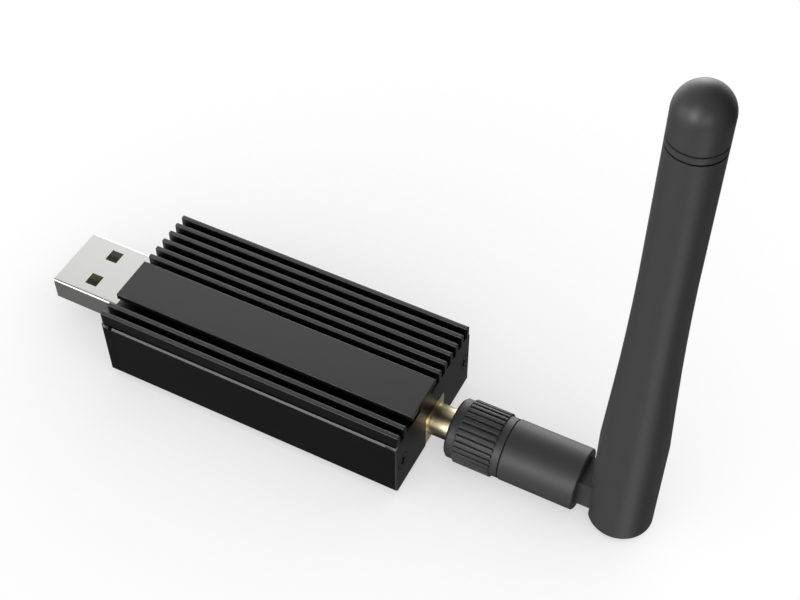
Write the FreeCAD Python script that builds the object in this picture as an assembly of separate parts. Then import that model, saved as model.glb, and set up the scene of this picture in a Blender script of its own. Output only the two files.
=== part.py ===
import FreeCAD, Part
import os
from math import atan2, cos, pi, sin, tan
from FreeCAD import Vector

# USB radio stick in a finned aluminium case, with a screw-on hinged antenna. Millimetres.
# The origin is the middle of the case's flat underside. +X runs from the plug to the antenna,
# +Z is up through the fins, and the antenna stands upright at rest.

# Case: an extruded sleeve closed by a plate at each end
case_length = 53.5
case_width = 25.5
case_height = 13.5
ledge_height = 11.3
ledge_width = 0.5
edge_bevel = 0.3
plate_thickness = 2.0
side_wall = 1.85
floor_wall = 1.15
roof_wall = 1.25
inner_corner_radius = 0.6

# Cooling fins along the top, and the T-shaped label rail that takes the place of some of them
fin_count = 13
fin_thickness = 0.75
crest_bevel = 0.1
slot_depth = 1.95
rail_width = 8.15
rail_offset = -3.62
rail_thickness = 1.08
rail_stem_width = 3.6
rail_stem_offset = -2.9
rail_side_gap = 1.0

# End screws, countersunk into the plates and threaded into channels of the sleeve
screw_inset = 2.1
screw_height = 5.95
screw_radius = 0.78
screw_length = 7.0
screw_head_radius = 1.5
screw_head_depth = 0.75
screw_recess_width = 0.42
screw_recess_span = 1.7
screw_recess_depth = 0.6
channel_wall = 0.95
channel_slit = 0.6
screw_clearance = 0.05
plate_hole_clearance = 0.15

# Circuit board, held in grooves of the side walls
board_seat = 0.3
board_thickness = 1.2
board_top = 3.15
board_end_gap = 0.25
groove_clearance = 0.1
board_corner_radius = 0.4

# Plug: a type A shell lying on the board
plug_reach = 15.1
plug_inside = 4.0
plug_width = 12.0
plug_height = 4.5
plug_sheet = 0.3
plug_corner_radius = 0.4
plug_lip = 0.12
window_distance = 5.2
window_length = 2.2
window_width = 2.35
window_spacing = 5.9
plug_slot_clearance = 0.15
tongue_thickness = 1.95
tongue_clearance = 0.05
tongue_setback = 0.35
cavity_depth = 11.75
contact_width = 1.0
contact_thickness = 0.2
contact_inner_spacing = 2.0
contact_outer_spacing = 7.0
signal_setback = 2.2
power_setback = 1.3
contact_tail_length = 1.3
tab_length = 1.4
tab_depth = 1.5
tab_inset = 0.9
tab_clearance = 0.1

# Coaxial jack on the other edge of the board
jack_offset = 0.4
flange_width = 6.35
flange_thickness = 1.65
notch_clearance = 0.08
jack_collar_radius = 2.95
jack_collar_length = 0.25
jack_neck_radius = 2.66
jack_neck_length = 4.0
thread_radius = 3.1
thread_length = 6.2
thread_bevel = 0.25
jack_bore_radius = 2.05
jack_socket_depth = 2.0
insulator_clearance = 0.02
jack_contact_radius = 0.75
jack_tail_radius = 0.38
jack_tail_length = 3.4
jack_leg_width = 1.0
jack_leg_length = 3.8
jack_leg_thickness = 0.7

# Centre pin and ferrule at the foot of the antenna
pin_radius = 0.46
pin_clearance = 0.06
pin_reach = 2.9
pin_tail = 5.4
pin_end_gap = 0.4
pin_bare_end = 0.5
nose_radius = 2.25
nose_clearance = 0.08
face_gap = 0.1
ferrule_radius = 2.75
ferrule_length = 6.8
ferrule_bore_radius = 1.6
ring_radius = 3.5
ring_thickness = 0.6
ring_depth = 0.3
ring_setback = 0.75
ring_clearance = 0.05
ring_mouth = 1.2

# Coupling nut
nut_gap = 3.72
nut_front_collar = 1.53
nut_grip_length = 6.36
nut_rear_collar = 1.28
nut_collar_radius = 4.94
nut_grip_radius = 5.28
nut_groove_count = 32
nut_groove_turn = 0.023
nut_groove_foot = 0.28
nut_groove_mouth = 0.52
nut_groove_rise = 0.02
nut_bevel = 0.4
nut_grip_bevel = 0.22
nut_thread_clearance = 0.08
nut_neck_clearance = 0.1
nut_recess_clearance = 0.35
nut_recess_length = 1.3

# Swivel barrel with the tongue of the elbow
barrel_seam = 0.13
barrel_length = 12.4
barrel_radius = 5.03
barrel_bevel = 0.18
tongue_width = 5.4
tongue_height = 5.5
tongue_reach = 6.52
lead_radius = 0.9
lead_clearance = 0.06
lead_slot_length = 5.2
trunnion_radius = 1.3
trunnion_length = 1.1
trunnion_clearance = 0.06

# Antenna blade, measured from the elbow's axis
blade_foot_radius = 5.07
blade_tip_radius = 3.8
blade_foot_drop = 4.26
taper_start = 15.0
taper_corner = 41.1
taper_end = 55.9
foot_swing_radius = 6.2
foot_bevel = 0.15
fork_side_clearance = 0.15
fork_end_clearance = 0.25
blade_bore_radius = 2.9
blade_bore_start = 9.0
cap_seam = 73.1
cap_band = 1.2
cap_top = 81.7
cap_plug_length = 4.5
cap_plug_clearance = 0.05
ring_line_width = 0.22
ring_line_depth = 0.16

# Radiator inside the blade
dipole_radius = 2.4
dipole_sheet = 0.3
dipole_start = 13.0
dipole_length = 25.0
whip_radius = 0.3
whip_length = 26.0

# Parts on the board: length, width and height of each, then how far its middle stands back
# from the board's nearer end, and how far in it lies from the board's long edge
shield_size = (15.0, 13.0, 2.2)
shield_setback = 21.5
shield_sheet = 0.2
radio_size = (7.0, 7.0, 0.9)
radio_setback = 23.0
bridge_size = (5.0, 5.0, 0.9)
bridge_setback = 11.5
bridge_offset = -1.0
regulator_size = (6.5, 3.5, 1.6)
regulator_setback = 11.5
regulator_inset = 4.6
regulator_pin_width = 0.7
regulator_pin_reach = 1.6
regulator_pin_height = 0.3
regulator_pin_pitch = 2.3
crystal_size = (3.2, 2.5, 0.8)
bridge_crystal_setback = 11.5
bridge_crystal_inset = 4.6
radio_crystal_setback = 17.1
radio_crystal_offset = -3.6
light_size = (1.6, 0.8, 0.6)
light_setback = 5.5
light_inset = 2.8
capacitor_size = (1.6, 0.8, 0.8)
capacitor_row_pitch = 2.4
capacitor_row_count = 4
capacitor_row_setback = 19.3
capacitor_row_inset = 2.6
shield_capacitor_count = 2
shield_capacitor_setback = 17.1
shield_capacitor_offset = 0.2
switch_size = (4.2, 3.2, 1.8)
switch_bore_clearance = 0.1
switch_floor = 0.4
switch_setback = 8.0
switch_inset = 4.6
plunger_radius = 0.8
plunger_proud = 0.5
plunger_travel = 0.25
plunger_foot = 0.4
plunger_foot_half = 1.1
plunger_foot_clearance = 0.2
plunger_play = 0.05

# Places that follow from the sizes above
half_length = case_length / 2
half_width = case_width / 2
upper_half = half_width - ledge_width
sleeve_end = half_length - plate_thickness
slot_floor = case_height - slot_depth
cavity_half = half_width - side_wall
cavity_top = slot_floor - roof_wall
fin_pitch = (2 * upper_half - fin_thickness) / (fin_count - 1)
channel_radius = screw_radius + screw_clearance + channel_wall
board_half = cavity_half + board_seat
board_bottom = board_top - board_thickness
board_end = sleeve_end - board_end_gap
plug_tip = -half_length - plug_reach
plug_back = -sleeve_end + plug_inside
plug_bottom = board_top
plug_top = plug_bottom + plug_height
tongue_top = plug_bottom + plug_sheet + tongue_thickness
jack_height = board_top + jack_tail_radius
flange_face = half_length
flange_back = flange_face - flange_thickness
neck_end = flange_face + jack_collar_length + jack_neck_length
jack_end = neck_end + thread_length
jack_floor = jack_end - jack_socket_depth
nut_front = half_length + nut_gap
grip_start = nut_front + nut_front_collar
grip_end = grip_start + nut_grip_length
nut_end = grip_end + nut_rear_collar
barrel_start = nut_end + barrel_seam
barrel_end = barrel_start + barrel_length
elbow = barrel_end + tongue_reach
nose_front = jack_floor + face_gap
shoulder = jack_end + face_gap
ferrule_end = shoulder + ferrule_length
ring_start = shoulder + ring_setback
blade_foot = jack_height - blade_foot_drop
lead_bore = lead_radius + lead_clearance

os.makedirs("parts", exist_ok=True)


def box(x0, x1, y0, y1, z0, z1):
    """Block between two corners."""
    return Part.makeBox(x1 - x0, y1 - y0, z1 - z0, Vector(x0, y0, z0))


def rod_x(x0, x1, radius, y=jack_offset, z=jack_height):
    """Round bar along X, by default on the antenna connector's axis."""
    return Part.makeCylinder(radius, x1 - x0, Vector(x0, y, z), Vector(1, 0, 0))


def rod_y(y0, y1, radius, x=elbow, z=jack_height):
    """Round bar along Y, by default on the elbow's axis."""
    return Part.makeCylinder(radius, y1 - y0, Vector(x, y0, z), Vector(0, 1, 0))


def rod_z(z0, z1, radius, x=elbow, y=jack_offset):
    """Round bar along Z, by default on the blade's axis."""
    return Part.makeCylinder(radius, z1 - z0, Vector(x, y, z0), Vector(0, 0, 1))


def turned(profile):
    """Body turned about the connector's axis, from a closed outline of (x, radius) corners."""
    corners = [Vector(x, jack_offset + radius, jack_height) for x, radius in profile]
    face = Part.Face(Part.makePolygon(corners + corners[:1]))
    return face.revolve(Vector(0, jack_offset, jack_height), Vector(1, 0, 0), 360)


def section(corners, x):
    """Flat face across X from (y, z) corners."""
    points = [Vector(x, y, z) for y, z in corners]
    return Part.Face(Part.makePolygon(points + points[:1]))


def rounded_bar(x0, x1, y0, y1, z0, z1, radius):
    """Block along X with its four long edges rounded."""
    block = box(x0, x1, y0, y1, z0, z1)
    long_edges = [edge for edge in block.Edges if abs(edge.tangentAt(edge.FirstParameter).x) > 0.99]
    return block.makeFillet(radius, long_edges)


def single(shape):
    """The one solid of a shape, with split faces joined."""
    return shape.removeSplitter().Solids[0]


def save(name, shape):
    """Write one piece of the object."""
    if not shape.isValid():
        raise ValueError(name + " is not a valid solid")
    shape.exportStep("parts/" + name + ".step")


# The case's outline, with its fins, slots and label rail

def fin_places():
    """Middle of each fin, leaving out those that the rail displaces."""
    reach = rail_width / 2 + rail_side_gap + fin_thickness / 2
    places = [upper_half - fin_thickness / 2 - fin_pitch * k for k in range(fin_count)]
    return [y for y in places if abs(y - rail_offset) >= reach]


def slot_bounds():
    """Sides of each open slot, between neighbouring fins or a fin and the rail."""
    ribs = [(y - fin_thickness / 2, y + fin_thickness / 2) for y in fin_places()]
    ribs.append((rail_offset - rail_width / 2, rail_offset + rail_width / 2))
    ribs.sort()
    return [(low[1], high[0]) for low, high in zip(ribs, ribs[1:])]


def case_block(x0, x1):
    """Length of the case's outer form, finned on top."""
    right = [
        (half_width - edge_bevel, 0),
        (half_width, edge_bevel),
        (half_width, ledge_height - edge_bevel),
        (half_width - edge_bevel, ledge_height),
        (upper_half, ledge_height),
        (upper_half, case_height),
    ]
    left = [(-y, z) for y, z in reversed(right)]
    block = section(right + left, x0).extrude(Vector(x1 - x0, 0, 0))
    slots = [box(x0 - 1, x1 + 1, y0, y1, slot_floor, case_height + 1) for y0, y1 in slot_bounds()]
    stem = rail_stem_width / 2
    under_rail = case_height - rail_thickness
    rail_left = rail_offset - rail_width / 2
    rail_right = rail_offset + rail_width / 2
    slots.append(box(x0 - 1, x1 + 1, rail_left - 0.1, rail_stem_offset - stem, slot_floor, under_rail))
    slots.append(box(x0 - 1, x1 + 1, rail_stem_offset + stem, rail_right + 0.1, slot_floor, under_rail))
    block = block.cut(slots)
    crests = [
        edge
        for edge in block.Edges
        if abs(edge.CenterOfMass.z - case_height) < 0.001 and edge.BoundBox.YLength < 0.001
    ]
    return block.makeChamfer(crest_bevel, crests)


def end_plate(x_inner, x_outer):
    """Plate with the case's outline, its outer upright corners bevelled."""
    plate = case_block(min(x_inner, x_outer), max(x_inner, x_outer))
    corners = [
        edge
        for edge in plate.Edges
        if abs(edge.CenterOfMass.x - x_outer) < 0.01
        and abs(abs(edge.CenterOfMass.y) - half_width) < 0.01
        and edge.Length > ledge_height / 2
    ]
    return plate.makeChamfer(edge_bevel, corners)


def screw_places():
    return [(screw_inset - half_width, screw_height), (half_width - screw_inset, screw_height)]


def countersinks(x_outer, inward):
    """Screw holes of an end plate, sunk from its outer face."""
    wide = screw_head_radius + screw_clearance
    narrow = screw_radius + plate_hole_clearance
    holes = []
    for y, z in screw_places():
        face = Vector(x_outer, y, z)
        direction = Vector(inward, 0, 0)
        holes.append(Part.makeCone(wide, narrow, screw_head_depth + screw_clearance, face, direction))
        holes.append(Part.makeCylinder(narrow, plate_thickness + 1, face, direction))
    return holes


# Sleeve: hollow, with two board grooves and two screw channels

sleeve = case_block(-sleeve_end, sleeve_end)
hollow = rounded_bar(
    -sleeve_end - 1, sleeve_end + 1, -cavity_half, cavity_half, floor_wall, cavity_top, inner_corner_radius
)
groove_half = board_half + groove_clearance
hollow = hollow.fuse(
    box(
        -sleeve_end - 1, sleeve_end + 1, -groove_half, groove_half,
        board_bottom - groove_clearance, board_top + groove_clearance,
    )
)
for y, z in screw_places():
    hollow = hollow.cut(rod_x(-sleeve_end - 2, sleeve_end + 2, channel_radius, y, z))
for y, z in screw_places():
    hollow = hollow.fuse(rod_x(-sleeve_end - 2, sleeve_end + 2, screw_radius + screw_clearance, y, z))
    inner = -1 if y > 0 else 1
    reach = y + inner * (channel_radius + 0.1)
    hollow = hollow.fuse(
        box(
            -sleeve_end - 2, sleeve_end + 2, min(y, reach), max(y, reach),
            z - channel_slit / 2, z + channel_slit / 2,
        )
    )
case_sleeve = single(sleeve.cut(hollow))
save("case_sleeve", case_sleeve)

# Plate at the plug's end, with a close slot round the shell

plug_plate = end_plate(-sleeve_end, -half_length)
plug_hole = rounded_bar(
    -half_length - 1, -sleeve_end + 1,
    -plug_width / 2 - plug_slot_clearance, plug_width / 2 + plug_slot_clearance,
    plug_bottom - plug_slot_clearance, plug_top + plug_slot_clearance,
    plug_corner_radius,
)
save("plug_end_plate", single(plug_plate.cut([plug_hole] + countersinks(-half_length, 1))))

# Plate at the antenna's end, with a notch from below round the jack's square flange

notch_half = flange_width / 2 + notch_clearance
notch = box(
    sleeve_end - 1, half_length + 1, jack_offset - notch_half, jack_offset + notch_half,
    -1, jack_height + notch_half,
)
antenna_plate = end_plate(sleeve_end, half_length)
save("antenna_end_plate", single(antenna_plate.cut([notch] + countersinks(half_length, -1))))


def end_screws(x_outer, inward):
    """Pair of countersunk screws, each with a cross recess."""
    screws = []
    for y, z in screw_places():
        face = Vector(x_outer, y, z)
        direction = Vector(inward, 0, 0)
        screw = Part.makeCone(screw_head_radius, screw_radius, screw_head_depth, face, direction)
        screw = screw.fuse(Part.makeCylinder(screw_radius, screw_length, face, direction))
        deep = x_outer + inward * screw_recess_depth
        low = min(x_outer - inward, deep)
        high = max(x_outer - inward, deep)
        arm = screw_recess_width / 2
        span = screw_recess_span / 2
        cross = box(low, high, y - arm, y + arm, z - span, z + span)
        cross = cross.fuse(box(low, high, y - span, y + span, z - arm, z + arm))
        screws.append(single(screw.cut(cross)))
    return Part.makeCompound(screws)


save("plug_end_screws", end_screws(-half_length, 1))
save("antenna_end_screws", end_screws(half_length, -1))

# Plug shell, folded from sheet, with two windows above and two below

shell = rounded_bar(
    plug_tip, plug_back, -plug_width / 2, plug_width / 2, plug_bottom, plug_top, plug_corner_radius
)
shell = shell.makeChamfer(
    plug_lip, [edge for edge in shell.Edges if abs(edge.BoundBox.XMax - plug_tip) < 0.01]
)
shell = shell.cut(
    rounded_bar(
        plug_tip - 1, plug_back + 1,
        -plug_width / 2 + plug_sheet, plug_width / 2 - plug_sheet,
        plug_bottom + plug_sheet, plug_top - plug_sheet,
        plug_corner_radius - plug_sheet,
    )
)
window_start = plug_tip + window_distance
for y in (-window_spacing / 2, window_spacing / 2):
    shell = shell.cut(
        box(
            window_start, window_start + window_length, y - window_width / 2, y + window_width / 2,
            plug_bottom - 1, plug_top + 1,
        )
    )
tab_end = plug_back - tab_inset
for y in (-plug_width / 2, plug_width / 2 - plug_sheet):
    shell = shell.fuse(
        box(
            tab_end - tab_length, tab_end, y, y + plug_sheet,
            board_top - tab_depth, plug_bottom + plug_height / 2,
        )
    )
save("plug_shell", single(shell))

# Plastic tongue of the plug, with its block at the back

tongue_half = plug_width / 2 - plug_sheet - tongue_clearance
insert_bottom = plug_bottom + plug_sheet + tongue_clearance
insert_top = plug_top - plug_sheet - tongue_clearance
insert = rounded_bar(
    plug_tip + tongue_setback, plug_back, -tongue_half, tongue_half,
    insert_bottom, insert_top, plug_corner_radius - plug_sheet,
)
insert = insert.cut(
    box(
        plug_tip, plug_tip + cavity_depth, -plug_width, plug_width,
        tongue_top, plug_top,
    )
)


def contact_places():
    """Middle of each contact strip, and how far its front end stands back."""
    inner = contact_inner_spacing / 2
    outer = contact_outer_spacing / 2
    return [
        (-outer, power_setback), (-inner, signal_setback),
        (inner, signal_setback), (outer, power_setback),
    ]


contacts = []
for y, setback in contact_places():
    left = y - contact_width / 2
    right = y + contact_width / 2
    strip_bottom = tongue_top - contact_thickness
    tail_end = plug_back + contact_thickness
    strip = box(plug_tip + setback, tail_end, left, right, strip_bottom, tongue_top)
    strip = strip.fuse(box(plug_back, tail_end, left, right, board_top, tongue_top))
    foot_end = plug_back + contact_tail_length
    strip = strip.fuse(box(plug_back, foot_end, left, right, board_top, board_top + contact_thickness))
    contacts.append(single(strip))
    insert = insert.cut(box(plug_tip, plug_back + 1, left, right, strip_bottom, tongue_top))
save("plug_tongue", single(insert))
save("plug_contacts", Part.makeCompound(contacts))

# Circuit board, with slots for the shell's tabs

board = box(-board_end, board_end, -board_half, board_half, board_bottom, board_top)
upright = [edge for edge in board.Edges if abs(edge.tangentAt(edge.FirstParameter).z) > 0.99]
board = board.makeFillet(board_corner_radius, upright)
for y in (-plug_width / 2, plug_width / 2 - plug_sheet):
    board = board.cut(
        box(
            tab_end - tab_length - tab_clearance, tab_end + tab_clearance,
            y - tab_clearance, y + plug_sheet + tab_clearance,
            board_bottom - 1, board_top + 1,
        )
    )
save("circuit_board", single(board))


# Parts soldered to the board

def on_board(size, x, y):
    """Block of a given size standing on the board."""
    length, width, height = size
    return box(
        x - length / 2, x + length / 2, y - width / 2, y + width / 2, board_top, board_top + height
    )


def near_plug(setback):
    return -board_end + setback


def near_antenna(setback):
    return board_end - setback


shield_x = near_antenna(shield_setback)
shield = on_board(shield_size, shield_x, 0)
upper = [edge for edge in shield.Edges if edge.CenterOfMass.z > board_top + 0.3 * shield_size[2]]
shield = shield.makeChamfer(shield_sheet, upper)
shield_inside = (shield_size[0] - 2 * shield_sheet, shield_size[1] - 2 * shield_sheet, shield_size[2])
hollow_shield = on_board(shield_inside, shield_x, 0)
hollow_shield.translate(Vector(0, 0, -shield_sheet))
save("radio_shield", single(shield.cut(hollow_shield)))
save("radio_chip", on_board(radio_size, near_antenna(radio_setback), 0))
save("bridge_chip", on_board(bridge_size, near_plug(bridge_setback), bridge_offset))
regulator_x = near_plug(regulator_setback)
regulator_y = board_half - regulator_inset
regulator = on_board(regulator_size, regulator_x, regulator_y)
pin_size = (regulator_pin_width, regulator_pin_reach * 2, regulator_pin_height)
for step in (-1, 0, 1):
    pin_x = regulator_x + step * regulator_pin_pitch
    regulator = regulator.fuse(on_board(pin_size, pin_x, regulator_y - regulator_size[1] / 2))
save("voltage_regulator", single(regulator))
crystals = [
    on_board(crystal_size, near_plug(bridge_crystal_setback), bridge_crystal_inset - board_half),
    on_board(crystal_size, near_antenna(radio_crystal_setback), radio_crystal_offset),
]
save("crystals", Part.makeCompound(crystals))
light_x = near_plug(light_setback)
light_y = board_half - light_inset
lights = [on_board(light_size, light_x, y) for y in (-light_y, light_y)]
save("status_lights", Part.makeCompound(lights))
row_y = capacitor_row_inset - board_half
capacitors = [
    on_board(capacitor_size, near_antenna(capacitor_row_setback + k * capacitor_row_pitch), row_y)
    for k in range(capacitor_row_count)
]
under_shield_x = near_antenna(shield_capacitor_setback)
capacitors += [
    on_board(capacitor_size, under_shield_x, shield_capacitor_offset + k * capacitor_row_pitch)
    for k in range(shield_capacitor_count)
]
save("capacitors", Part.makeCompound(capacitors))


def push_switch(name, y):
    """Push switch: a body with a well, and the plunger that sinks into it."""
    x = near_antenna(switch_setback)
    top = board_top + switch_size[2]
    well_floor = board_top + switch_floor
    foot_top = well_floor + plunger_play + plunger_travel + plunger_foot
    body = on_board(switch_size, x, y)
    stem_hole = plunger_radius + switch_bore_clearance
    body = body.cut(rod_z(well_floor, top + 1, stem_hole, x, y))
    well = plunger_foot_half + plunger_foot_clearance
    body = body.cut(box(x - well, x + well, y - well, y + well, well_floor, foot_top + plunger_play))
    save(name + "_switch", single(body))
    plunger = rod_z(foot_top - plunger_foot, top + plunger_proud, plunger_radius, x, y)
    foot = plunger_foot_half
    plunger = plunger.fuse(box(x - foot, x + foot, y - foot, y + foot, foot_top - plunger_foot, foot_top))
    save(name + "_plunger", single(plunger))


push_switch("boot", switch_inset - board_half)
push_switch("reset", board_half - switch_inset)

# Coaxial jack: flange, flared neck and threaded barrel in one turned piece, with legs on the board

collar_end = flange_face + jack_collar_length
barrel = turned(
    [
        (flange_back, jack_bore_radius),
        (flange_back, jack_collar_radius),
        (flange_face, jack_collar_radius),
        (collar_end, jack_neck_radius),
        (neck_end, jack_neck_radius),
        (neck_end + thread_bevel, thread_radius),
        (jack_end - thread_bevel, thread_radius),
        (jack_end, thread_radius - thread_bevel),
        (jack_end, nose_radius + nose_clearance),
        (jack_floor, nose_radius + nose_clearance),
        (jack_floor, jack_bore_radius),
    ]
)
flange_half = flange_width / 2
flange = box(
    flange_back, flange_face, jack_offset - flange_half, jack_offset + flange_half,
    jack_height - flange_half, jack_height + flange_half,
)
flange = flange.cut(rod_x(flange_back - 1, flange_face + 1, jack_bore_radius))
jack = barrel.fuse(flange)
for side in (-1, 1):
    inner_y = jack_offset + side * (flange_half - jack_leg_width)
    outer_y = jack_offset + side * flange_half
    y0 = min(inner_y, outer_y)
    y1 = max(inner_y, outer_y)
    leg_end = flange_back - jack_leg_length
    jack = jack.fuse(box(leg_end, flange_back, y0, y1, board_top, board_top + jack_leg_thickness))
    jack = jack.fuse(box(leg_end, flange_back, y0, y1, board_bottom - jack_leg_thickness, board_bottom))
save("jack_body", single(jack))
insulator_radius = jack_bore_radius - insulator_clearance
insulator = rod_x(flange_back, jack_floor, insulator_radius)
insulator = insulator.cut(
    rod_x(flange_back - 1, jack_end, jack_contact_radius + insulator_clearance)
)
save("jack_insulator", single(insulator))
pin_bore = pin_radius + pin_clearance
contact = rod_x(flange_back, jack_floor, jack_contact_radius)
contact = contact.fuse(rod_x(flange_back - jack_tail_length, flange_back, jack_tail_radius))
contact = contact.cut(rod_x(jack_floor - pin_reach - pin_end_gap, jack_floor + 1, pin_bore))
save("jack_contact", single(contact))

# Antenna foot: centre pin, insulator, ferrule and the split ring that keeps the nut on it

pin_tip = jack_floor - pin_reach
pin_end = shoulder + pin_tail
pin = rod_x(pin_tip + pin_radius, pin_end, pin_radius)
tip_start = Vector(pin_tip + pin_radius, jack_offset, jack_height)
pin = pin.fuse(Part.makeCone(pin_radius, pin_radius / 3, pin_radius, tip_start, Vector(-1, 0, 0)))
save("centre_pin", single(pin))
ferrule_insulator = rod_x(nose_front, pin_end - pin_bare_end, ferrule_bore_radius - insulator_clearance)
ferrule_insulator = ferrule_insulator.cut(
    rod_x(nose_front - 1, pin_end, pin_radius + insulator_clearance)
)
save("ferrule_insulator", single(ferrule_insulator))
ring_end = ring_start + ring_thickness
groove_radius = ferrule_radius - ring_depth
ferrule = turned(
    [
        (nose_front, ferrule_bore_radius),
        (nose_front, nose_radius),
        (shoulder, nose_radius),
        (shoulder, ferrule_radius),
        (ring_start - ring_clearance, ferrule_radius),
        (ring_start - ring_clearance, groove_radius),
        (ring_end + ring_clearance, groove_radius),
        (ring_end + ring_clearance, ferrule_radius),
        (ferrule_end, ferrule_radius),
        (ferrule_end, lead_bore),
        (pin_end, lead_bore),
        (pin_end, ferrule_bore_radius),
    ]
)
save("antenna_ferrule", single(ferrule))
ring = rod_x(ring_start, ring_end, ring_radius)
ring = ring.cut(rod_x(ring_start - 1, ring_end + 1, groove_radius + ring_clearance))
ring = ring.cut(
    box(
        ring_start - 1, ring_end + 1, jack_offset - ring_mouth / 2, jack_offset + ring_mouth / 2,
        jack_height - ring_radius - 1, jack_height,
    )
)
save("retaining_ring", single(ring))

# Coupling nut: a grooved grip between two smooth collars

nut_bore = thread_radius + nut_thread_clearance
nut_neck = ferrule_radius + nut_neck_clearance
nut_recess = ring_radius + nut_recess_clearance
recess_start = ring_start - (nut_recess_length - ring_thickness) / 2
recess_end = recess_start + nut_recess_length
nut = turned(
    [
        (nut_front, nut_bore + nut_bevel),
        (nut_front, nut_collar_radius - nut_bevel),
        (nut_front + nut_bevel, nut_collar_radius),
        (grip_start, nut_collar_radius),
        (grip_start + nut_grip_bevel, nut_grip_radius),
        (grip_end, nut_grip_radius),
        (grip_end, nut_collar_radius),
        (nut_end, nut_collar_radius),
        (nut_end, nut_neck),
        (recess_end, nut_neck),
        (recess_end, nut_recess),
        (recess_start, nut_recess),
        (recess_start, nut_bore),
        (nut_front + nut_bevel, nut_bore),
    ]
)
grooves = []
for k in range(nut_groove_count):
    angle = nut_groove_turn + 2 * pi * k / nut_groove_count
    foot = nut_groove_foot / 2
    mouth = nut_groove_mouth / 2
    base = nut_collar_radius + nut_groove_rise
    outside = nut_grip_radius + 0.2
    outline = [(-foot, base), (foot, base), (mouth, outside), (-mouth, outside)]
    corners = [
        (jack_offset + u * cos(angle) + v * sin(angle), jack_height - u * sin(angle) + v * cos(angle))
        for u, v in outline
    ]
    grooves.append(section(corners, grip_start - 0.1).extrude(Vector(nut_grip_length + 0.2, 0, 0)))
save("coupling_nut", single(nut.cut(grooves)))

# Swivel barrel: round body, square tongue with a round end, two trunnions and a slot for the lead

barrel = turned(
    [
        (barrel_start, 0),
        (barrel_start, barrel_radius - barrel_bevel),
        (barrel_start + barrel_bevel, barrel_radius),
        (barrel_end - barrel_bevel, barrel_radius),
        (barrel_end, barrel_radius - barrel_bevel),
        (barrel_end, 0),
    ]
)
tongue_side = tongue_width / 2
tongue_rise = tongue_height / 2
barrel = barrel.fuse(
    box(
        barrel_end - 1, elbow, jack_offset - tongue_side, jack_offset + tongue_side,
        jack_height - tongue_rise, jack_height + tongue_rise,
    )
)
barrel = barrel.fuse(rod_y(jack_offset - tongue_side, jack_offset + tongue_side, tongue_rise))
trunnion_half = tongue_side + trunnion_length
barrel = barrel.fuse(rod_y(jack_offset - trunnion_half, jack_offset + trunnion_half, trunnion_radius))
barrel = barrel.cut(rod_x(barrel_start - 1, ferrule_end + 0.1, ferrule_radius + insulator_clearance))
lead_slot_start = elbow + tongue_rise - lead_slot_length
barrel = barrel.cut(rod_x(ferrule_end, lead_slot_start + 0.1, lead_bore))
barrel = barrel.cut(
    box(
        lead_slot_start, elbow + tongue_rise + 1,
        jack_offset - lead_bore, jack_offset + lead_bore,
        jack_height - tongue_rise - 1, jack_height + tongue_rise + 1,
    )
)
save("swivel_barrel", single(barrel))
save("barrel_lead", rod_x(pin_end, lead_slot_start, lead_radius))


# Antenna blade: turned outline, forked foot, hollow above

def blade_outline():
    """Face of the blade's outer half: foot, straight flank, and a long bend that ends upright."""
    def at(radius, height):
        return Vector(elbow + radius, jack_offset, jack_height + height)

    knee = blade_foot_radius
    slope = atan2(knee - blade_tip_radius, taper_corner - taper_start)
    tangent = taper_end - taper_corner
    bend = tangent / tan(slope / 2)
    flank_radius = blade_tip_radius + tangent * sin(slope)
    flank_end = at(flank_radius, taper_corner - tangent * cos(slope))
    bend_radius = blade_tip_radius + bend * (1 - cos(slope / 2))
    bend_middle = at(bend_radius, taper_end - bend * sin(slope / 2))
    seam_bevel = ring_line_depth
    seam = cap_seam - ring_line_width / 2
    edges = [
        Part.makeLine(at(0, -blade_foot_drop), at(knee - foot_bevel, -blade_foot_drop)),
        Part.makeLine(at(knee - foot_bevel, -blade_foot_drop), at(knee, foot_bevel - blade_foot_drop)),
        Part.makeLine(at(knee, foot_bevel - blade_foot_drop), at(knee, taper_start)),
        Part.makeLine(at(knee, taper_start), flank_end),
        Part.Arc(flank_end, bend_middle, at(blade_tip_radius, taper_end)).toShape(),
        Part.makeLine(at(blade_tip_radius, taper_end), at(blade_tip_radius, seam)),
        Part.makeLine(at(blade_tip_radius, seam), at(blade_tip_radius - seam_bevel, cap_seam)),
        Part.makeLine(at(blade_tip_radius - seam_bevel, cap_seam), at(0, cap_seam)),
        Part.makeLine(at(0, cap_seam), at(0, -blade_foot_drop)),
    ]
    return Part.Face(Part.Wire(edges))


blade = blade_outline().revolve(Vector(elbow, jack_offset, 0), Vector(0, 0, 1), 360)
fork_half = tongue_side + fork_side_clearance
fork_reach = tongue_rise + fork_end_clearance
far = blade_foot_radius + 1
fork = box(
    elbow - far, elbow, jack_offset - fork_half, jack_offset + fork_half,
    blade_foot - 1, jack_height + fork_reach,
)
fork = fork.fuse(
    box(
        elbow - 0.1, elbow + fork_reach, jack_offset - fork_half, jack_offset + fork_half,
        blade_foot - 1, jack_height,
    )
)
fork = fork.fuse(rod_y(jack_offset - fork_half, jack_offset + fork_half, fork_reach))
blade = blade.cut(fork)
swing_corner = box(
    elbow - far, elbow, jack_offset - far, jack_offset + far, blade_foot - 1, jack_height
)
swing_corner = swing_corner.cut(rod_y(jack_offset - far - 1, jack_offset + far + 1, foot_swing_radius))
blade = blade.cut(swing_corner)
socket_half = trunnion_half + trunnion_clearance
blade = blade.cut(
    rod_y(jack_offset - socket_half, jack_offset + socket_half, trunnion_radius + trunnion_clearance)
)
bore_start = jack_height + blade_bore_start
seam_height = jack_height + cap_seam
blade = blade.cut(rod_z(jack_height, bore_start + 0.1, lead_bore))
blade = blade.cut(rod_z(bore_start, seam_height + 1, blade_bore_radius))
save("antenna_blade", single(blade))


# Cap on the blade's tip: a band between two fine lines, then a dome

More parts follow.
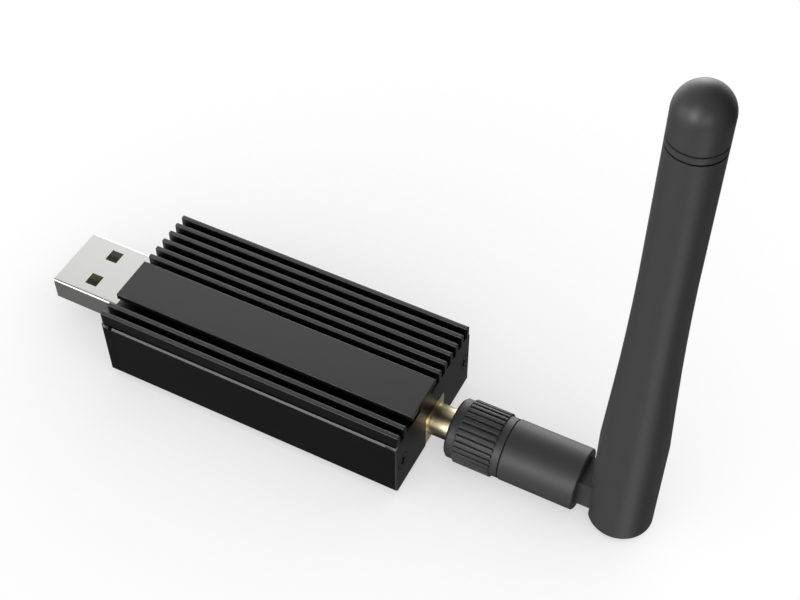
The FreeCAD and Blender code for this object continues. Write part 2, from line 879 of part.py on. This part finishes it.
def cap_outline():
    def at(radius, height):
        return Vector(elbow + radius, jack_offset, jack_height + height)

    dome_start = cap_top - blade_tip_radius
    line = cap_seam + cap_band
    half = ring_line_width / 2
    inset = blade_tip_radius - ring_line_depth
    plug = blade_bore_radius - cap_plug_clearance
    corners = [
        at(0, cap_seam - cap_plug_length),
        at(plug, cap_seam - cap_plug_length),
        at(plug, cap_seam),
        at(inset, cap_seam),
        at(blade_tip_radius, cap_seam + half),
        at(blade_tip_radius, line - half),
        at(inset, line),
        at(blade_tip_radius, line + half),
        at(blade_tip_radius, dome_start),
    ]
    edges = [Part.makeLine(a, b) for a, b in zip(corners, corners[1:])]
    shoulder_point = blade_tip_radius * cos(pi / 4)
    middle = at(shoulder_point, dome_start + shoulder_point)
    edges.append(Part.Arc(corners[-1], middle, at(0, cap_top)).toShape())
    edges.append(Part.makeLine(at(0, cap_top), corners[0]))
    return Part.Face(Part.Wire(edges))


tip_cap = cap_outline().revolve(Vector(elbow, jack_offset, 0), Vector(0, 0, 1), 360)
save("tip_cap", single(tip_cap))

# Radiator: coaxial lead, brass sleeve folded back over it, and the bare whip above

dipole_bottom = jack_height + dipole_start
dipole_top = dipole_bottom + dipole_length
lead_bottom = jack_height + fork_reach
save("blade_lead", rod_z(lead_bottom, dipole_top, lead_radius))
dipole = rod_z(dipole_bottom, dipole_top, dipole_radius)
dipole = dipole.cut(rod_z(dipole_bottom - 1, dipole_top - dipole_sheet, dipole_radius - dipole_sheet))
dipole = dipole.cut(rod_z(dipole_bottom, dipole_top + 1, lead_radius + insulator_clearance))
save("dipole_sleeve", single(dipole))
save("whip_wire", rod_z(dipole_top, dipole_top + whip_length, whip_radius))
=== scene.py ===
from math import cos, hypot, pi, radians, sin

import bmesh
import bpy
from mathutils import Matrix, Vector


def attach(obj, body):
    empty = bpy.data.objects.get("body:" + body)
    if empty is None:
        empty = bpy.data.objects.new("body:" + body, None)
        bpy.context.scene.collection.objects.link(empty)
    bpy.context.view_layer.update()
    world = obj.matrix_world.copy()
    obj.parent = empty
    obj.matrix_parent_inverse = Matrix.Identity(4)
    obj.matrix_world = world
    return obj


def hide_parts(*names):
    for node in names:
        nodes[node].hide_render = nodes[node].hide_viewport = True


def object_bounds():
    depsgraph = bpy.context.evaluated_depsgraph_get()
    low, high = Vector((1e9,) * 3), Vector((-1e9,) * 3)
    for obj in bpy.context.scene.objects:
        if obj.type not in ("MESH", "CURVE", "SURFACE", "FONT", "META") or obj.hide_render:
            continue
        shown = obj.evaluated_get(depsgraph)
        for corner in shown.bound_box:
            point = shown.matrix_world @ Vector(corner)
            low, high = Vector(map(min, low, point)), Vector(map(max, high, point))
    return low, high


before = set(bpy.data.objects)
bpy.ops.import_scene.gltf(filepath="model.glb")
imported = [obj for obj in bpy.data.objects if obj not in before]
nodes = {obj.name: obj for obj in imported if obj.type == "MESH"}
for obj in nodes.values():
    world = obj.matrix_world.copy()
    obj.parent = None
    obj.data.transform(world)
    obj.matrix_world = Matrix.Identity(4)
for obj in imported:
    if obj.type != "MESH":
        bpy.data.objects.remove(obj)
cad_low, cad_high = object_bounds()

MM = 0.001

# Places on the part in mm, as the CAD has them
AXIS_Y, AXIS_Z = 0.4, 3.53
ELBOW_X = 58.69
TIP_RADIUS, TIP_TOP = 3.8, AXIS_Z + 81.7
JOINT_X, END_X = 24.75, 26.75
WALL_Y, SIDE_Y = 12.25, 12.75
LEDGE_Z, LEDGE_OUT, CHAMFER_Z = 11.3, 12.45, 11.0
SCREW_Y, SCREW_Z = 10.65, 5.95
GRIP_RADIUS = 5.28

# Fine forms in mm that are made here alone
SEAM_Z, BAND = AXIS_Z + 73.1, 1.2
LEDGE_DROP, CHAMFER_LOW = 0.12, 10.8
LINE_WIDE, LINE_DEEP, LINE_END = 0.26, 0.45, 26.4
CORNER, SCREW_RIM, RIDGE = 0.15, 0.14, 0.12
CASE_EDGE, SCREW_EDGE, NUT_EDGE = 0.05, 0.04, 0.05

# Limits in mm for finding a place on a mesh, and for joining points
NEAR, TOUCHING = 0.01, 0.0001
RECESS_REACH, GRIP_SPREAD, LONG_EDGE = 1.3, 0.08, 0.5
CAD_DOUBLE, SPUN_DOUBLE = 0.001, 0.0005

# Limits in degrees: faces that count as one, edges to round, and edges shaded sharp
FLAT_ANGLE, EDGE_ANGLE, SHARP_ANGLE = 0.4, 30, 40

# Least upward part of the normal of a face that counts as the ledge's top
UPWARD = 0.6

# Sockets of a colour mix node
MIX_A, MIX_B, MIX_RESULT = 6, 7, 2


# Colour and material helpers

def linear(hex_colour):
    """Linear red, green, blue and alpha of an sRGB colour such as #1c1c1e."""
    channels = [int(hex_colour[k:k + 2], 16) / 255 for k in (1, 3, 5)]
    return [c / 12.92 if c <= 0.04045 else ((c + 0.055) / 1.055) ** 2.4 for c in channels] + [1.0]


def add(tree, kind, settings=None, **links):
    """Adds a node. Settings go to its properties, links to its inputs as values or sockets."""
    made = tree.nodes.new(kind)
    for name, value in (settings or {}).items():
        setattr(made, name, value)
    for name, value in links.items():
        key = int(name[1:]) if name[0] == "i" and name[1:].isdigit() else name.replace("_", " ")
        socket = made.inputs[key]
        if isinstance(value, bpy.types.NodeSocket):
            tree.links.new(value, socket)
        else:
            socket.default_value = value
    return made


def math_of(tree, operation, *values):
    """Result of a math node on values or sockets."""
    inputs = {f"i{k}": value for k, value in enumerate(values)}
    return add(tree, "ShaderNodeMath", {"operation": operation}, **inputs).outputs[0]


def finish_of(name, colour, roughness, metallic=0.0, **shader):
    """A new material with its principled shader; returns material, tree, shader and place."""
    material = bpy.data.materials.new(name)
    material.use_nodes = True
    tree = material.node_tree
    surface = tree.nodes["Principled BSDF"]
    surface.inputs["Base Color"].default_value = linear(colour)
    surface.inputs["Roughness"].default_value = roughness
    surface.inputs["Metallic"].default_value = metallic
    for socket, value in shader.items():
        surface.inputs[socket.replace("_", " ")].default_value = value
    place = add(tree, "ShaderNodeTexCoord").outputs["Object"]
    return material, tree, surface, place


def grain(tree, place, size_mm, stretch=(1, 1, 1), detail=3.0):
    """Noise with features of about size_mm, stretched along the axes."""
    scaled = add(tree, "ShaderNodeMapping", Vector=place)
    scaled.inputs["Scale"].default_value = [1 / s for s in stretch]
    scale = 1 / (size_mm * MM)
    noise = add(tree, "ShaderNodeTexNoise", Vector=scaled.outputs[0], Scale=scale, Detail=detail)
    return noise.outputs[0]


def bump(tree, surface, height, depth_mm, strength):
    """Gives a shader the relief of a pattern."""
    made = add(tree, "ShaderNodeBump", Height=height, Strength=strength, Distance=depth_mm * MM)
    tree.links.new(made.outputs[0], surface.inputs["Normal"])


def vary(tree, surface, source, low, high, socket="Roughness"):
    """Lets a pattern move a shader value between two limits."""
    spread = add(tree, "ShaderNodeMapRange", Value=source)
    spread.inputs["To Min"].default_value = low
    spread.inputs["To Max"].default_value = high
    tree.links.new(spread.outputs[0], surface.inputs[socket])


# Black anodised aluminium: dyed oxide over an extrusion, with a fine blasted grain and faint
# die lines
anodised, tree, surface, place = finish_of("black_anodised_aluminium", "#050506", 0.42, IOR=1.66)
lines = grain(tree, place, size_mm=0.12, stretch=(60, 1, 1), detail=2.0)
blast = grain(tree, place, size_mm=0.09)
both = add(tree, "ShaderNodeMix", {"data_type": "FLOAT"}, Factor=0.5, A=lines, B=blast).outputs[0]
vary(tree, surface, grain(tree, place, size_mm=3.0, stretch=(4, 1, 1)), low=0.39, high=0.45)
bump(tree, surface, both, depth_mm=0.012, strength=0.6)

# Nickel plate on formed steel sheet: satin, with light rolling marks along the plug
nickel, tree, surface, place = finish_of("nickel_plated_steel", "#dcdcda", 0.4, metallic=1.0)
vary(tree, surface, grain(tree, place, size_mm=0.15, stretch=(25, 1, 1)), low=0.36, high=0.46)
marks = grain(tree, place, size_mm=0.1, stretch=(12, 1, 1))
bump(tree, surface, marks, depth_mm=0.004, strength=0.4)

# Gold over brass: pale turned metal with a soft sheen and the faintest rings of the lathe tool
gold, tree, surface, place = finish_of("gold_plated_brass", "#fff0c8", 0.33, metallic=1.0)
vary(tree, surface, grain(tree, place, size_mm=0.25, stretch=(1, 6, 6)), low=0.29, high=0.37)
rings = grain(tree, place, size_mm=0.12, stretch=(1, 30, 30))
bump(tree, surface, rings, depth_mm=0.005, strength=0.1)

# Black oxide steel screws
black_steel, tree, surface, place = finish_of("black_oxide_steel", "#151515", 0.34, metallic=0.6)
vary(tree, surface, grain(tree, place, size_mm=0.3), low=0.26, high=0.42)

# Moulded black ABS with a satin spark-eroded skin
satin_abs, tree, surface, place = finish_of("moulded_abs_satin", "#414141", 0.48, IOR=1.42)
vary(tree, surface, grain(tree, place, size_mm=2.0), low=0.44, high=0.52)
bump(tree, surface, grain(tree, place, size_mm=0.14), depth_mm=0.01, strength=0.5)

# The blade's softer matt elastomer skin. Within the two fine lines of the tip its colour is painted
# near-black,
# # as painted shade in the grooves.
SKIN, LINE_SHADE = "#444444", "#060606"
LINE_HALF = 0.12
matt_skin, tree, surface, place = finish_of("moulded_elastomer_matt", SKIN, 0.36, IOR=1.36)
height = add(tree, "ShaderNodeSeparateXYZ", Vector=place).outputs["Z"]
# Mask of the two fine lines, where painted shade turns the skin near-black
painted_line_shade = 0.0
for line in (SEAM_Z, SEAM_Z + BAND):
    within = math_of(tree, "COMPARE", height, line * MM, LINE_HALF * MM)
    painted_line_shade = math_of(tree, "MAXIMUM", painted_line_shade, within)
line_shading = add(tree, "ShaderNodeMix", {"data_type": "RGBA"}, Factor=painted_line_shade)
line_shading.inputs[MIX_A].default_value = linear(SKIN)
line_shading.inputs[MIX_B].default_value = linear(LINE_SHADE)
tree.links.new(line_shading.outputs[MIX_RESULT], surface.inputs["Base Color"])
vary(tree, surface, grain(tree, place, size_mm=3.0), low=0.33, high=0.39)
bump(tree, surface, grain(tree, place, size_mm=0.16), depth_mm=0.01, strength=0.5)


def simple(name, colour, roughness, metallic=0.0, speck_mm=0.4):
    """Material of a small inner piece, with a grain in its gloss and its relief."""
    spread = 0.06
    material, tree, surface, place = finish_of(name, colour, roughness, metallic)
    pattern = grain(tree, place, speck_mm)
    vary(tree, surface, pattern, low=roughness - spread, high=roughness + spread)
    bump(tree, surface, pattern, depth_mm=0.004, strength=0.5)
    return material


solder_mask = simple("epoxy_glass_board", "#12301c", 0.3, speck_mm=0.6)
epoxy = simple("moulded_epoxy", "#141416", 0.5, speck_mm=0.1)
tin_can = simple("tin_plated_can", "#a8a8a4", 0.36, metallic=1.0)
crystal_can = simple("seam_welded_can", "#b8b8b4", 0.26, metallic=1.0)
ceramic = simple("fired_ceramic", "#8c6a48", 0.42, speck_mm=0.1)
resin = simple("clear_resin", "#e4e4cc", 0.16)
key_plastic = simple("key_nylon", "#c8c2b4", 0.4)
ptfe = simple("white_ptfe", "#e2e2dc", 0.46)
tongue_plastic = simple("tongue_pbt", "#8c8c88", 0.42)
jacket = simple("fep_jacket", "#5c3420", 0.24)
bronze = simple("spring_bronze", "#b88848", 0.3, metallic=1.0)
contact_gold = simple("contact_gold_flash", "#b8b488", 0.34, metallic=1.0, speck_mm=0.2)

# The material of each CAD node, also of those that a piece below stands for
MATERIALS = {
    "case_sleeve": anodised, "plug_end_plate": anodised, "antenna_end_plate": anodised,
    "plug_end_screws": black_steel, "antenna_end_screws": black_steel,
    "circuit_board": solder_mask, "plug_shell": nickel, "plug_tongue": tongue_plastic,
    "plug_contacts": contact_gold, "radio_shield": tin_can, "radio_chip": epoxy,
    "bridge_chip": epoxy, "voltage_regulator": epoxy, "crystals": crystal_can,
    "status_lights": resin, "capacitors": ceramic, "boot_switch": tin_can,
    "reset_switch": tin_can, "boot_plunger": key_plastic, "reset_plunger": key_plastic,
    "jack_body": gold, "jack_insulator": ptfe, "jack_contact": contact_gold,
    "coupling_nut": satin_abs, "antenna_ferrule": gold, "ferrule_insulator": ptfe,
    "centre_pin": contact_gold, "retaining_ring": bronze, "swivel_barrel": satin_abs,
    "barrel_lead": jacket, "antenna_blade": matt_skin, "tip_cap": matt_skin,
    "dipole_sleeve": bronze, "blade_lead": jacket, "whip_wire": bronze,
}
for name, material in MATERIALS.items():
    mesh = nodes[name].data
    mesh.materials.clear()
    mesh.materials.append(material)


# Pieces

def put(name, work, body, material, slot_name, *stands_for):
    """Makes an object of a bmesh, in its place on a body, standing for CAD nodes."""
    mesh = bpy.data.meshes.new(name)
    work.to_mesh(mesh)
    work.free()
    for face in mesh.polygons:
        face.use_smooth = True
    mesh.set_sharp_from_angle(angle=radians(SHARP_ANGLE))
    piece = bpy.data.objects.new(name, mesh)
    bpy.context.scene.collection.objects.link(piece)
    mesh.materials.append(material)
    weigh = piece.modifiers.new("even_shading", "WEIGHTED_NORMAL")
    weigh.keep_sharp = True
    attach(piece, body)
    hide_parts(*stands_for)


def merged(node):
    """Merged copy of a CAD node's triangles, with its flat faces joined."""
    work = bmesh.new()
    work.from_mesh(nodes[node].data)
    bmesh.ops.remove_doubles(work, verts=work.verts, dist=CAD_DOUBLE * MM)
    bmesh.ops.dissolve_limit(
        work, angle_limit=radians(FLAT_ANGLE), verts=work.verts, edges=work.edges,
    )
    return work


def soften(work, radius_mm, wanted=lambda edge: True, segments=2):
    """Rounds the clear outward edges that a test picks."""
    edges = [
        e for e in work.edges
        if len(e.link_faces) == 2 and e.is_convex
        and e.calc_face_angle(0) > radians(EDGE_ANGLE) and wanted(e)
    ]
    bmesh.ops.bevel(
        work, geom=edges, offset=radius_mm * MM, offset_type="OFFSET", segments=segments,
        profile=0.5, affect="EDGES", material=-1, clamp_overlap=True,
    )
    return work


def all_at(edge, x, y=None):
    """True when both ends of an edge lie at x, and at y if given, in mm on either side."""
    for v in edge.verts:
        for value, place in ((v.co.x, x), (v.co.y, y)):
            if place is not None and abs(abs(value) / MM - place) > NEAR:
                return False
    return True


def on_joint(edge):
    """True for an edge in the closed joint between the sleeve and an end plate."""
    return all_at(edge, JOINT_X) and edge.verts[0].co.x * edge.verts[1].co.x > 0


def on_corner(edge):
    """True for one of the four upright corners of the case."""
    return all_at(edge, END_X, SIDE_Y)


def slope_ledge(work):
    """Eases the ledge's edge down and widens its chamfer, which catches light as a line."""
    for v in work.verts:
        y, z = abs(v.co.y) / MM, v.co.z / MM
        if abs(y - LEDGE_OUT) < NEAR and abs(z - LEDGE_Z) < NEAR:
            v.co.y = (1 if v.co.y > 0 else -1) * (WALL_Y + LINE_WIDE) * MM
            v.co.z = (LEDGE_Z - LEDGE_DROP) * MM
        elif abs(y - SIDE_Y) < NEAR and abs(z - CHAMFER_Z) < NEAR:
            v.co.z = CHAMFER_LOW * MM
    return work


def cut_at(work, place, way):
    """Cuts all faces by the plane through a place in mm, square to a way."""
    bmesh.ops.bisect_plane(
        work, geom=work.verts[:] + work.edges[:] + work.faces[:], dist=TOUCHING * MM,
        plane_co=[c * MM for c in place], plane_no=way,
    )


def ledge_line(work):
    """Cuts the fine line that runs along the ledge at the foot of the upper wall."""
    outer = WALL_Y + LINE_WIDE
    for x in (-LINE_END, LINE_END):
        cut_at(work, (x, 0, 0), (1, 0, 0))
    for y in (-outer, outer):
        cut_at(work, (0, y, 0), (0, 1, 0))
    strips = []
    for face in work.faces:
        x, y, z = (abs(c) for c in face.calc_center_median() / MM)
        on_top = face.normal.z > UPWARD and LEDGE_Z - LEDGE_DROP < z < LEDGE_Z
        if on_top and x < LINE_END and WALL_Y < y < outer:
            strips.append(face)
    grown = bmesh.ops.extrude_face_region(work, geom=strips)["geom"]
    moved = [g for g in grown if isinstance(g, bmesh.types.BMVert)]
    bmesh.ops.translate(work, verts=moved, vec=(0, 0, -LINE_DEEP * MM))
    bmesh.ops.delete(work, geom=[f for f in strips if f.is_valid], context="FACES")
    return work


def on_rim(edge):
    """True for an edge on the outer rim of a screw's head, away from its recess."""
    for v in edge.verts:
        side = SCREW_Y if v.co.y > 0 else -SCREW_Y
        if hypot(v.co.y / MM - side, v.co.z / MM - SCREW_Z) < RECESS_REACH:
            return False
    return True


def on_ridge(edge):
    """True for a long edge between a ridge and a groove of the nut's grip."""
    near, far = edge.verts
    reach = [hypot(v.co.y / MM - AXIS_Y, v.co.z / MM - AXIS_Z) for v in (near, far)]
    return min(reach) > GRIP_RADIUS - GRIP_SPREAD and abs(near.co.x - far.co.x) > LONG_EDGE * MM


def dressed(name, node, body, material, slot_name, radius_mm):
    """Puts a copy of a CAD node with rounded edges in the node's place."""
    put(name, soften(merged(node), radius_mm), body, material, slot_name, node)


for name, node in (
    ("finned_sleeve", "case_sleeve"),
    ("plug_cover", "plug_end_plate"),
    ("antenna_cover", "antenna_end_plate"),
):
    shell = soften(slope_ledge(merged(node)), CORNER, on_corner, segments=4)
    shell = ledge_line(soften(shell, CASE_EDGE, lambda e: not on_joint(e)))
    put(name, shell, "stick", anodised, "black_anodised", node)
for name, node in (
    ("plug_cover_screws", "plug_end_screws"),
    ("antenna_cover_screws", "antenna_end_screws"),
):
    heads = soften(merged(node), SCREW_RIM, on_rim)
    heads = soften(heads, SCREW_EDGE, lambda e: not on_rim(e))
    put(name, heads, "stick", black_steel, "black_steel", node)
dressed("folded_plug_shell", "plug_shell", "stick", nickel, "nickel", radius_mm=0.035)
dressed("plug_tongue_block", "plug_tongue", "stick", tongue_plastic, "white_tongue", radius_mm=0.05)
dressed("gilt_jack", "jack_body", "stick", gold, "gold_plate", radius_mm=0.04)
nut = soften(merged("coupling_nut"), RIDGE, on_ridge, segments=3)
nut = soften(nut, NUT_EDGE, lambda e: not on_ridge(e))
put("grooved_nut", nut, "nut", satin_abs, "nut_plastic", "coupling_nut")
dressed("turning_barrel", "swivel_barrel", "swivel", satin_abs, "barrel_plastic", radius_mm=0.08)
dressed("forked_blade", "antenna_blade", "blade", matt_skin, "blade_plastic", radius_mm=0.08)


def turned(profile, steps=96):
    """Solid of revolution about the blade's axis from (radius, height) points in mm."""
    work = bmesh.new()
    points = [work.verts.new((r * MM, 0, z * MM)) for r, z in profile]
    edges = [work.edges.new(pair) for pair in zip(points, points[1:])]
    bmesh.ops.spin(
        work, geom=points + edges, cent=(0, 0, 0), axis=(0, 0, 1), dvec=(0, 0, 0),
        angle=2 * pi, steps=steps, use_merge=True, use_duplicate=False,
    )
    bmesh.ops.remove_doubles(work, verts=work.verts, dist=SPUN_DOUBLE * MM)
    bmesh.ops.recalc_face_normals(work, faces=work.faces)
    bmesh.ops.translate(work, verts=work.verts, vec=(ELBOW_X * MM, AXIS_Y * MM, 0))
    return work


# The tip cap: a plug in the blade's bore, a band between two square-cut lines, and the dome.
# A line is twice the lip high, its depth deep, and eased at its edges.
lip, depth, edge = 0.13, 0.42, 0.03
plug_radius, plug_length, plug_edge = 2.85, 4.5, 0.2
inner = TIP_RADIUS - depth
worn = TIP_RADIUS - edge
band_top = SEAM_Z + BAND
dome_start = TIP_TOP - TIP_RADIUS
dome_steps = 32
angles = [k * pi / (2 * dome_steps) for k in range(1, dome_steps)]
dome = [(TIP_RADIUS * cos(a), dome_start + TIP_RADIUS * sin(a)) for a in angles]
cap = turned([
    (0, SEAM_Z - plug_length), (plug_radius - plug_edge, SEAM_Z - plug_length),
    (plug_radius, SEAM_Z - plug_length + plug_edge), (plug_radius, SEAM_Z), (inner, SEAM_Z),
    (inner, SEAM_Z + lip), (worn, SEAM_Z + lip), (TIP_RADIUS, SEAM_Z + lip + edge),
    (TIP_RADIUS, band_top - lip - edge), (worn, band_top - lip), (inner, band_top - lip),
    (inner, band_top + lip), (worn, band_top + lip), (TIP_RADIUS, band_top + lip + edge),
    (TIP_RADIUS, dome_start), *dome, (0, TIP_TOP),
])
put("domed_cap", cap, "blade", matt_skin, "blade_plastic", "tip_cap")


# Floor, light and camera

# The floor glows by itself, with a painted shadow: its glow dims where the part hides two parts of
# the sky
# # from it. The lobes below hold the light that it throws on the part, so it adds none. Lengths in
# m.
FLOOR_HALF = 3.0
FLOOR_BASE = 0.231
FLOOR_SKIES = (((0.5, 0.5, 0.707), 0.378), ((0.0, -0.9, 0.43), 0.413))
SKY_REACH, SKY_SAMPLES = 0.2, 16
flat = bmesh.new()
bmesh.ops.create_grid(flat, x_segments=1, y_segments=1, size=FLOOR_HALF)
bmesh.ops.translate(flat, verts=flat.verts, vec=(0, 0, cad_low.z))
floor_mesh = bpy.data.meshes.new("studio_floor")
flat.to_mesh(floor_mesh)
flat.free()
floor = bpy.data.objects.new("studio_floor", floor_mesh)
bpy.context.scene.collection.objects.link(floor)
painted_shadow_floor, tree, surface, _ = finish_of("glowing_floor_painted_shadow", "#000000", 1.0, Specular_IOR_Level=0.0)
surface.inputs["Emission Color"].default_value = (1, 1, 1, 1)
# Painted shadow: the glow drops where the part blocks each of the two skies
glow = FLOOR_BASE
for (x, y, z), share in FLOOR_SKIES:
    way = add(tree, "ShaderNodeCombineXYZ", X=x, Y=y, Z=z).outputs[0]
    sky = add(
        tree, "ShaderNodeAmbientOcclusion", {"samples": SKY_SAMPLES},
        Distance=SKY_REACH, Normal=way,
    )
    glow = math_of(tree, "MULTIPLY_ADD", sky.outputs["AO"], share, glow)
tree.links.new(glow, surface.inputs["Emission Strength"])
floor_mesh.materials.append(painted_shadow_floor)
floor.visible_glossy = False
floor.visible_diffuse = False
floor.visible_shadow = False

# Soft lobes of studio light: the way each comes from, how tight it is, and its strength
LOBES = (
    ((-0.282, -0.924, 0.259), 32, 9.7), ((-0.306, 0.888, 0.342), 32, 4.13),
    ((0.492, -0.853, 0.174), 32, 3.73), ((-0.863, -0.498, 0.087), 32, 2.69),
    ((-0.326, 0.946, 0.0), 32, 2.5), ((-0.707, 0.707, 0.0), 8, 1.85),
    ((-0.212, -0.791, 0.574), 32, 1.82), ((0.422, -0.503, -0.755), 32, 1.43),
    ((0.0, 1.0, 0.0), 8, 1.36), ((-0.577, 0.577, 0.577), 8, 0.88),
    ((-0.707, -0.707, 0.0), 8, 0.55), ((-0.114, 0.646, -0.755), 32, 0.32),
    ((-0.308, 0.579, 0.755), 32, 0.24), ((0.595, 0.277, -0.755), 32, 0.19),
    ((0.422, 0.503, -0.755), 32, 0.17),
)
world = bpy.data.worlds.new("studio")
bpy.context.scene.world = world
world.use_nodes = True
tree = world.node_tree
direction = add(tree, "ShaderNodeTexCoord").outputs["Generated"]
glow = 0.0
for way, tightness, strength in LOBES:
    facing = add(
        tree, "ShaderNodeVectorMath", {"operation": "DOT_PRODUCT"}, i0=direction, i1=way,
    )
    lit = math_of(tree, "MAXIMUM", facing.outputs["Value"], 0.0)
    glow = math_of(tree, "MULTIPLY_ADD", math_of(tree, "POWER", lit, tightness), strength, glow)
# Seen past the floor's edge, the studio is the same white as the floor
seen = add(tree, "ShaderNodeLightPath").outputs["Is Camera Ray"]
room = add(tree, "ShaderNodeMix", {"data_type": "RGBA"}, Factor=seen)
tree.links.new(glow, room.inputs[MIX_A])
room.inputs[MIX_B].default_value = (1, 1, 1, 1)
tree.links.new(room.outputs[MIX_RESULT], tree.nodes["Background"].inputs["Color"])

bpy.context.scene.view_settings.view_transform = "Standard"

# The photo's camera, solved from the plug and the case's edges: lens and sensor in mm, clip
# in m, its place in mm, and the ways of its own three axes
LENS, SENSOR_WIDTH, CLIP_START = 65.306, 36, 0.01
CAMERA_AT = (84.505, -122.521, 190.292)
RIGHT = (0.888187, 0.459480, -0.002001)
UP = (-0.347469, 0.674495, 0.651401)
BACK = (0.300654, -0.577868, 0.758733)
camera_data = bpy.data.cameras.new("photo_camera")
camera_data.lens = LENS
camera_data.sensor_width = SENSOR_WIDTH
camera_data.clip_start = CLIP_START
camera = bpy.data.objects.new("photo_camera", camera_data)
bpy.context.scene.collection.objects.link(camera)
turn = Matrix((RIGHT, UP, BACK)).transposed().to_4x4()
camera.matrix_world = Matrix.Translation(Vector(CAMERA_AT) * MM) @ turn
bpy.context.scene.camera = camera

bpy.context.view_layer.update()
